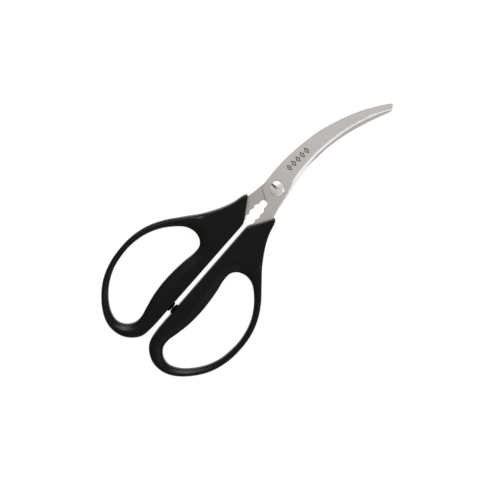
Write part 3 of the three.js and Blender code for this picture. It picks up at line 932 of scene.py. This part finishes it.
# (darkest, lightest) colour of each material.
UPPER_STEEL = ((0.425, 0.406, 0.4), (0.53, 0.506, 0.499))
# The lower blade's steel is painted darker than the upper's: painted shade from the upper blade.
LOWER_STEEL_WITH_PAINTED_SHADE = ((0.355, 0.341, 0.336), (0.443, 0.425, 0.418))
BEVEL_STEEL = ((0.77, 0.76, 0.75), (0.85, 0.84, 0.83))
# The cut edges' dark colour is partly the real duller stamped steel and partly painted shade.
DULL_AND_SHADED_CUT_STEEL = ((0.16, 0.155, 0.15), (0.28, 0.27, 0.265))
# The slot's colours: painted shade at the dark end, painted highlight at the light end.
GROOVE_PAINTED_SHADE_AND_HIGHLIGHT = ((0.1, 0.096, 0.092), (0.46, 0.45, 0.44))
SCREW_STEEL = ((0.55, 0.542, 0.532), (0.66, 0.65, 0.64))
PLASTIC = ((0.0017, 0.0015, 0.0012), (0.0027, 0.0024, 0.002))
RUBBER = ((0.0008, 0.0008, 0.0008), (0.0018, 0.0018, 0.0018))
FLOOR = ((0.05, 0.05, 0.05), (0.058, 0.058, 0.058))
FLOOR_GLOW = 0.96
SATIN_ROUGHNESS = (0.41, 0.31)
POLISHED_ROUGHNESS = (0.35, 0.25)
# Cells of noise in a millimetre, along, across and through.
FINE_LINES, COARSE_LINES, CLOUDS = (0.35, 9, 9), (0.12, 2.6, 2.6), (0.05, 0.16, 0.16)
CROSS_LINES, PRESS_MARKS, HANDLING_MARKS = (7, 0.6, 0.6), (4, 4, 0.5), (3, 0.7, 1)
RING_SCALE = 52
# Most of a noise's values lie in this range.
NOISE_SPREAD = (0.3, 0.7)


class Nodes:
    """A material with a Principled shader, and a few short ways to add nodes to it."""

    def __init__(self, name):
        self.material = bpy.data.materials.new(name)
        self.material.use_nodes = True
        self.tree = self.material.node_tree
        self.shader = self.tree.nodes["Principled BSDF"]
        self.shader.name = name

    def add(self, kind, **values):
        node = self.tree.nodes.new(kind)
        for key, value in values.items():
            setattr(node, key, value)
        return node

    def link(self, source, target):
        self.tree.links.new(source, target)

    def set(self, **values):
        for key, value in values.items():
            self.shader.inputs[key.replace("_", " ")].default_value = value

    def scaled(self, source, scale):
        node = self.add("ShaderNodeVectorMath", operation="MULTIPLY")
        node.inputs[1].default_value = scale
        self.link(source, node.inputs[0])
        return node.outputs[0]

    def noise(self, vector, scale, detail=2, roughness=0.5):
        if isinstance(scale, tuple):
            vector, scale = self.scaled(vector, scale), 1
        node = self.add("ShaderNodeTexNoise")
        node.inputs["Scale"].default_value = scale
        node.inputs["Detail"].default_value = detail
        node.inputs["Roughness"].default_value = roughness
        self.link(vector, node.inputs["Vector"])
        return node.outputs["Fac"]

    def math(self, operation, a, b=0.0):
        node = self.add("ShaderNodeMath", operation=operation)
        for socket, value in zip(node.inputs, (a, b)):
            if isinstance(value, (int, float)):
                socket.default_value = value
            else:
                self.link(value, socket)
        return node.outputs[0]

    def blend(self, *parts):
        """The sum of (value, weight) parts."""
        total = None
        for value, weight in parts:
            part = self.math("MULTIPLY", value, weight)
            total = part if total is None else self.math("ADD", total, part)
        return total

    def ranged(self, value, source, target=(0, 1)):
        """The value carried from one range to another, and held at its ends."""
        node = self.add("ShaderNodeMapRange")
        for key, number in zip(("From Min", "From Max", "To Min", "To Max"), (*source, *target)):
            node.inputs[key].default_value = number
        self.link(value, node.inputs["Value"])
        return node.outputs["Result"]

    def ramp(self, value, colours, ends=NOISE_SPREAD):
        """From the first colour to the second between two values."""
        node = self.add("ShaderNodeValToRGB")
        for element, position, colour in zip(node.color_ramp.elements, ends, colours):
            element.position = position
            element.color = (*colour, 1)
        self.link(value, node.inputs["Fac"])
        return node.outputs["Color"]

    def tinted(self, colour, tint, share, blend_type="MIX"):
        """The colour blended with a fixed tint, by a share from 0 to 1."""
        node = self.add("ShaderNodeMix", data_type="RGBA", blend_type=blend_type)
        self.link(share, node.inputs["Factor"])
        self.link(colour, node.inputs[6])
        node.inputs[7].default_value = (*tint, 1)
        return node.outputs[2]

    def axes(self, vector):
        node = self.add("ShaderNodeSeparateXYZ")
        self.link(vector, node.inputs[0])
        return node.outputs

    def about(self, vector, origin):
        """The vector from an origin."""
        node = self.add("ShaderNodeVectorMath", operation="SUBTRACT")
        node.inputs[1].default_value = origin
        self.link(vector, node.inputs[0])
        return node.outputs[0]

    def bump(self, height, strength, distance_m, before=None):
        node = self.add("ShaderNodeBump")
        node.inputs["Strength"].default_value = strength
        node.inputs["Distance"].default_value = distance_m
        self.link(height, node.inputs["Height"])
        if before is not None:
            self.link(before, node.inputs["Normal"])
        return node.outputs["Normal"]

    def follow(self, pattern, colours, roughness, strength, depth_m, ends=NOISE_SPREAD):
        """Makes the colour, the roughness and the relief follow one pattern."""
        self.to_shader(Base_Color=self.ramp(pattern, colours, ends))
        self.to_shader(Roughness=self.ranged(pattern, NOISE_SPREAD, roughness))
        self.to_shader(Normal=self.bump(pattern, strength, depth_m))

    def to_shader(self, **sources):
        for key, source in sources.items():
            self.link(source, self.shader.inputs[key.replace("_", " ")])

    def object_mm(self):
        """The point's place in millimetres, for patterns with a real scale."""
        return self.scaled(self.add("ShaderNodeTexCoord").outputs["Object"], (1000, 1000, 1000))

    def flow_mm(self):
        return self.add("ShaderNodeAttribute", attribute_name="flow").outputs["Vector"]


def etched_mask(n):
    """1 inside a row of small lozenges, the plain etched ornament on the upper blade's outer face."""
    start_x, start_y = ETCH_START
    start = PIVOT / MM + Vector((start_x, start_y, 0))
    turn = n.add("ShaderNodeVectorRotate", rotation_type="Z_AXIS")
    turn.inputs["Angle"].default_value = -ETCH_TURN
    n.link(n.about(n.object_mm(), start), turn.inputs["Vector"])
    across, along, up = n.axes(turn.outputs[0])
    cell = n.math("SUBTRACT", n.math("FRACT", n.math("DIVIDE", along, ETCH_PITCH)), 0.5)
    lengthways = n.math("ABSOLUTE", n.math("MULTIPLY", cell, ETCH_PITCH / ETCH_HALF_LENGTH))
    lozenge = n.math("ADD", lengthways, n.math("ABSOLUTE", n.math("DIVIDE", across, ETCH_HALF_WIDTH)))
    soft = LOZENGE_SOFTNESS
    rim = n.math(
        "MULTIPLY", n.ranged(lozenge, (LOZENGE_OUTER + soft, LOZENGE_OUTER - soft)),
        n.ranged(lozenge, (LOZENGE_INNER - soft, LOZENGE_INNER + soft)),
    )
    mark = n.math("MAXIMUM", rim, n.ranged(lozenge, (LOZENGE_MIDDLE + soft, LOZENGE_MIDDLE - soft)))
    before_end = n.math("LESS_THAN", along, ETCH_PITCH * ETCH_COUNT)
    row = n.math("MULTIPLY", n.math("GREATER_THAN", along, 0), before_end)
    outer_face = n.math("GREATER_THAN", up, 1)
    return n.math("MULTIPLY", mark, n.math("MULTIPLY", row, outer_face))


def satin_steel(name, colours, root_painted_shade, etched=False):
    """Ground stainless steel: fine lines along the blade, faint clouds, and painted shade that darkens it
    towards the handles.
    """
    n = Nodes(name)
    flow = n.flow_mm()
    fine = n.noise(flow, FINE_LINES, 3, 0.6)
    grain = n.blend((fine, 0.5), (n.noise(flow, COARSE_LINES, 2), 0.3), (n.noise(flow, CLOUDS, 3), 0.2))
    colour = n.ramp(n.ranged(grain, (0.36, 0.64)), colours, (0, 1))
    rough = n.ranged(grain, (0.35, 0.65), SATIN_ROUGHNESS)
    # Painted shade: the colour is multiplied darker towards the handles.
    pivot_y = PIVOT.y / MM
    root = n.ranged(n.axes(n.object_mm())[1], (pivot_y + ROOT_END_Y, pivot_y + ROOT_START_Y))
    colour = n.tinted(colour, root_painted_shade, root, "MULTIPLY")
    if etched:
        mask = etched_mask(n)
        colour = n.tinted(colour, ETCH_COLOUR, mask)
        rough = n.math("ADD", rough, n.math("MULTIPLY", mask, ETCH_ROUGHER))
    n.to_shader(Base_Color=colour, Roughness=rough, Normal=n.bump(grain, 0.3, 20 * MICRON))
    n.set(Metallic=1.0, Specular_IOR_Level=0.5)
    return n.material


def bright_bevel(name):
    """The ground cutting bevel: cross-ground lines, brighter and smoother than the face."""
    n = Nodes(name)
    n.follow(n.noise(n.flow_mm(), CROSS_LINES, 2, 0.6), BEVEL_STEEL, (0.26, 0.18), 0.12, 10 * MICRON)
    n.set(Metallic=1.0)
    return n.material


def stamped_edge(name):
    """The blades' cut edges: duller, with marks through the thickness from the press tool, and a dark colour
    that is partly painted shade.
    """
    n = Nodes(name)
    n.follow(n.noise(n.object_mm(), PRESS_MARKS, 3, 0.6), DULL_AND_SHADED_CUT_STEEL, (0.6, 0.45), 0.4, 30 * MICRON)
    n.set(Metallic=1.0)
    return n.material


def slot_painted_shade_and_highlight(name):
    """Inside the screw's slot: unpolished, with painted shade that is darkest towards -X and a painted
    highlight that brightens it towards +X.
    """
    n = Nodes(name)
    place = n.object_mm()
    speckle = n.noise(place, 2.2, 3)
    painted_light_share = n.math("ADD", n.axes(place)[0], n.math("MULTIPLY", speckle, 2))
    n.to_shader(Base_Color=n.ramp(n.ranged(painted_light_share, (-0.6, 1.6)), GROOVE_PAINTED_SHADE_AND_HIGHLIGHT, (0, 1)))
    n.to_shader(Roughness=n.ranged(speckle, NOISE_SPREAD, (0.45, 0.6)))
    n.set(Metallic=1.0)
    return n.material


def polished_steel(name):
    """Turned and polished steel for the screw, washer and nut: fine rings and handling marks."""
    n = Nodes(name)
    place = n.object_mm()
    radius = n.add("ShaderNodeVectorMath", operation="LENGTH")
    n.link(n.scaled(n.about(place, PIVOT / MM), (1, 1, 0)), radius.inputs[0])
    rings = n.math("SINE", n.math("MULTIPLY", radius.outputs["Value"], RING_SCALE))
    marks = n.noise(place, HANDLING_MARKS, 4, 0.65)
    n.to_shader(Base_Color=n.ramp(marks, SCREW_STEEL))
    n.to_shader(Roughness=n.ranged(marks, NOISE_SPREAD, POLISHED_ROUGHNESS))
    n.to_shader(Normal=n.bump(rings, 0.05, 10 * MICRON, n.bump(marks, 0.1, 20 * MICRON)))
    n.set(Metallic=1.0)
    return n.material


def black_plastic(name):
    """Moulded black nylon: a fine spark-eroded grain, slightly polished where it is held."""
    n = Nodes(name)
    place = n.object_mm()
    grain = n.noise(place, 4.5, 3, 0.6)
    polish = n.blend((grain, 0.35), (n.noise(place, 0.06, 2), 0.65))
    n.to_shader(Base_Color=n.ramp(n.noise(place, 0.35, 3), PLASTIC))
    n.to_shader(Roughness=n.ranged(polish, NOISE_SPREAD, (0.28, 0.38)))
    n.to_shader(Normal=n.bump(grain, 0.22, 50 * MICRON))
    n.set(Specular_IOR_Level=0.1, IOR=1.5)
    return n.material


def black_rubber(name):
    """Matt black rubber with a faint bloom."""
    n = Nodes(name)
    n.follow(n.noise(n.object_mm(), 3.2, 4, 0.6), RUBBER, (0.72, 0.86), 0.3, 60 * MICRON, (0.3, 0.75))
    n.set(Specular_IOR_Level=0.04)
    return n.material


def plain_floor(name):
    """A pale, matt floor that glows a little, so that it stays even and nearly white."""
    n = Nodes(name)
    n.to_shader(Base_Color=n.ramp(n.noise(n.object_mm(), 0.4, 2), FLOOR))
    n.set(Roughness=0.9, Specular_IOR_Level=0.1)
    n.set(Emission_Color=(1, 1, 1, 1), Emission_Strength=FLOOR_GLOW)
    return n.material


# -------- the pieces on their bodies


def dress(obj, materials, body, slot, *nodes):
    for material in materials:
        obj.data.materials.append(material)
    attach(obj, body)
    if nodes:
        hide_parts(*nodes)


def build_blades():
    bevel_steel, cut_steel = bright_bevel("bevel_steel"), stamped_edge("cut_edge_steel")
    upper_face = satin_steel("marked_blade_steel", UPPER_STEEL, UPPER_ROOT_PAINTED_SHADE, etched=True)
    lower_face_painted_shade = satin_steel("blade_steel", LOWER_STEEL_WITH_PAINTED_SHADE, LOWER_ROOT_PAINTED_SHADE)
    dress(make_upper_blade(), [upper_face, bevel_steel, cut_steel], UPPER_BODY, "blade_steel", "upper_blade")
    dress(make_lower_blade(), [lower_face_painted_shade, bevel_steel, cut_steel], LOWER_BODY, "blade_steel", "lower_blade")


def build_handles():
    plastic, rubber = black_plastic("handle_plastic"), black_rubber("bumper_rubber")
    handles = make_handles()
    for side, sign, body in (("right", 1, UPPER_BODY), ("left", -1, LOWER_BODY)):
        dress(handles[side], [plastic], body, "handle_plastic", f"{side}_handle")
        dress(make_bumper(sign), [rubber], body, "bumper_rubber", f"{side}_stop_bumper")


def build_pivot():
    steel, groove_steel = polished_steel("screw_steel"), slot_painted_shade_and_highlight("slot_steel")
    dress(make_screw_head(), [steel, groove_steel], LOWER_BODY, "screw_steel", "pivot_screw")
    dress(make_screw_shank(), [steel], LOWER_BODY, "screw_steel", "pivot_screw")
    dress(make_washer(), [steel], LOWER_BODY, "screw_steel", "pivot_washer")
    dress(make_nut(), [steel], LOWER_BODY, "screw_steel", "pivot_nut")


# -------- camera, floor and light

FLOOR_HALF = 3
FLOOR_GAP = 0.00003
WORLD_LIGHT = 0.5
CAMERA_LENS = 100
CAMERA_SENSOR = 36
CAMERA_TURN = math.radians(40.99)
CAMERA_TILT = math.radians(7.42)
CAMERA_DISTANCE = 0.7806
VIEW_CENTRE = PIVOT + Vector((0.00356, -0.03703, 0))
IMAGE_RIGHT = Vector((math.cos(CAMERA_TURN), math.sin(CAMERA_TURN), 0))
IMAGE_UP = Vector((-math.sin(CAMERA_TURN), math.cos(CAMERA_TURN), 0))
STRAIGHT_UP = Vector((0, 0, 1))
# Each softbox's name, its place to the right, up the picture and above, its size (m) and power (W).
SOFTBOXES = [
    ("key_light", -0.1, 0.62, 0.66, 0.42, 10.5),
    ("side_light", 0.62, -0.32, 0.64, 0.5, 1.7),
    ("low_light", 0.12, -0.66, 0.5, 0.5, 0.9),
    ("top_light", 0.1, 0.3, 1.3, 2.2, 4.2),
]


def make_camera():
    data = bpy.data.cameras.new("camera")
    data.lens = CAMERA_LENS
    data.sensor_width = CAMERA_SENSOR
    obj = bpy.data.objects.new("camera", data)
    back = IMAGE_UP * math.sin(CAMERA_TILT) + STRAIGHT_UP * math.cos(CAMERA_TILT)
    obj.location = VIEW_CENTRE + CAMERA_DISTANCE * back
    obj.rotation_euler = (-CAMERA_TILT, 0, CAMERA_TURN)
    bpy.context.scene.collection.objects.link(obj)
    bpy.context.scene.camera = obj


def make_softbox(name, right, up, height, size, power):
    """A square softbox aimed at the shears, placed along the picture's own directions."""
    data = bpy.data.lights.new(name, "AREA")
    data.shape = "SQUARE"
    data.size = size
    data.energy = power
    obj = bpy.data.objects.new(name, data)
    aim = -(right * IMAGE_RIGHT + up * IMAGE_UP + height * STRAIGHT_UP)
    obj.location = VIEW_CENTRE - aim
    obj.rotation_euler = aim.to_track_quat("-Z", "Y").to_euler()
    bpy.context.scene.collection.objects.link(obj)


def make_floor():
    z = CAD_LOW[2] - FLOOR_GAP
    corners = [(x * FLOOR_HALF, y * FLOOR_HALF, z) for x, y in ((-1, -1), (1, -1), (1, 1), (-1, 1))]
    mesh = bpy.data.meshes.new("floor")
    mesh.from_pydata(corners, [], [(0, 1, 2, 3)])
    obj = bpy.data.objects.new("floor", mesh)
    mesh.materials.append(plain_floor("floor"))
    bpy.context.scene.collection.objects.link(obj)


def make_world():
    world = bpy.data.worlds.new("studio")
    world.use_nodes = True
    background = world.node_tree.nodes["Background"]
    background.inputs["Color"].default_value = (1, 1, 1, 1)
    background.inputs["Strength"].default_value = WORLD_LIGHT
    bpy.context.scene.world = world


make_camera()
bpy.context.scene.view_settings.view_transform = "Standard"
make_world()
make_floor()
for softbox in SOFTBOXES:
    make_softbox(*softbox)
build_blades()
build_handles()
build_pivot()
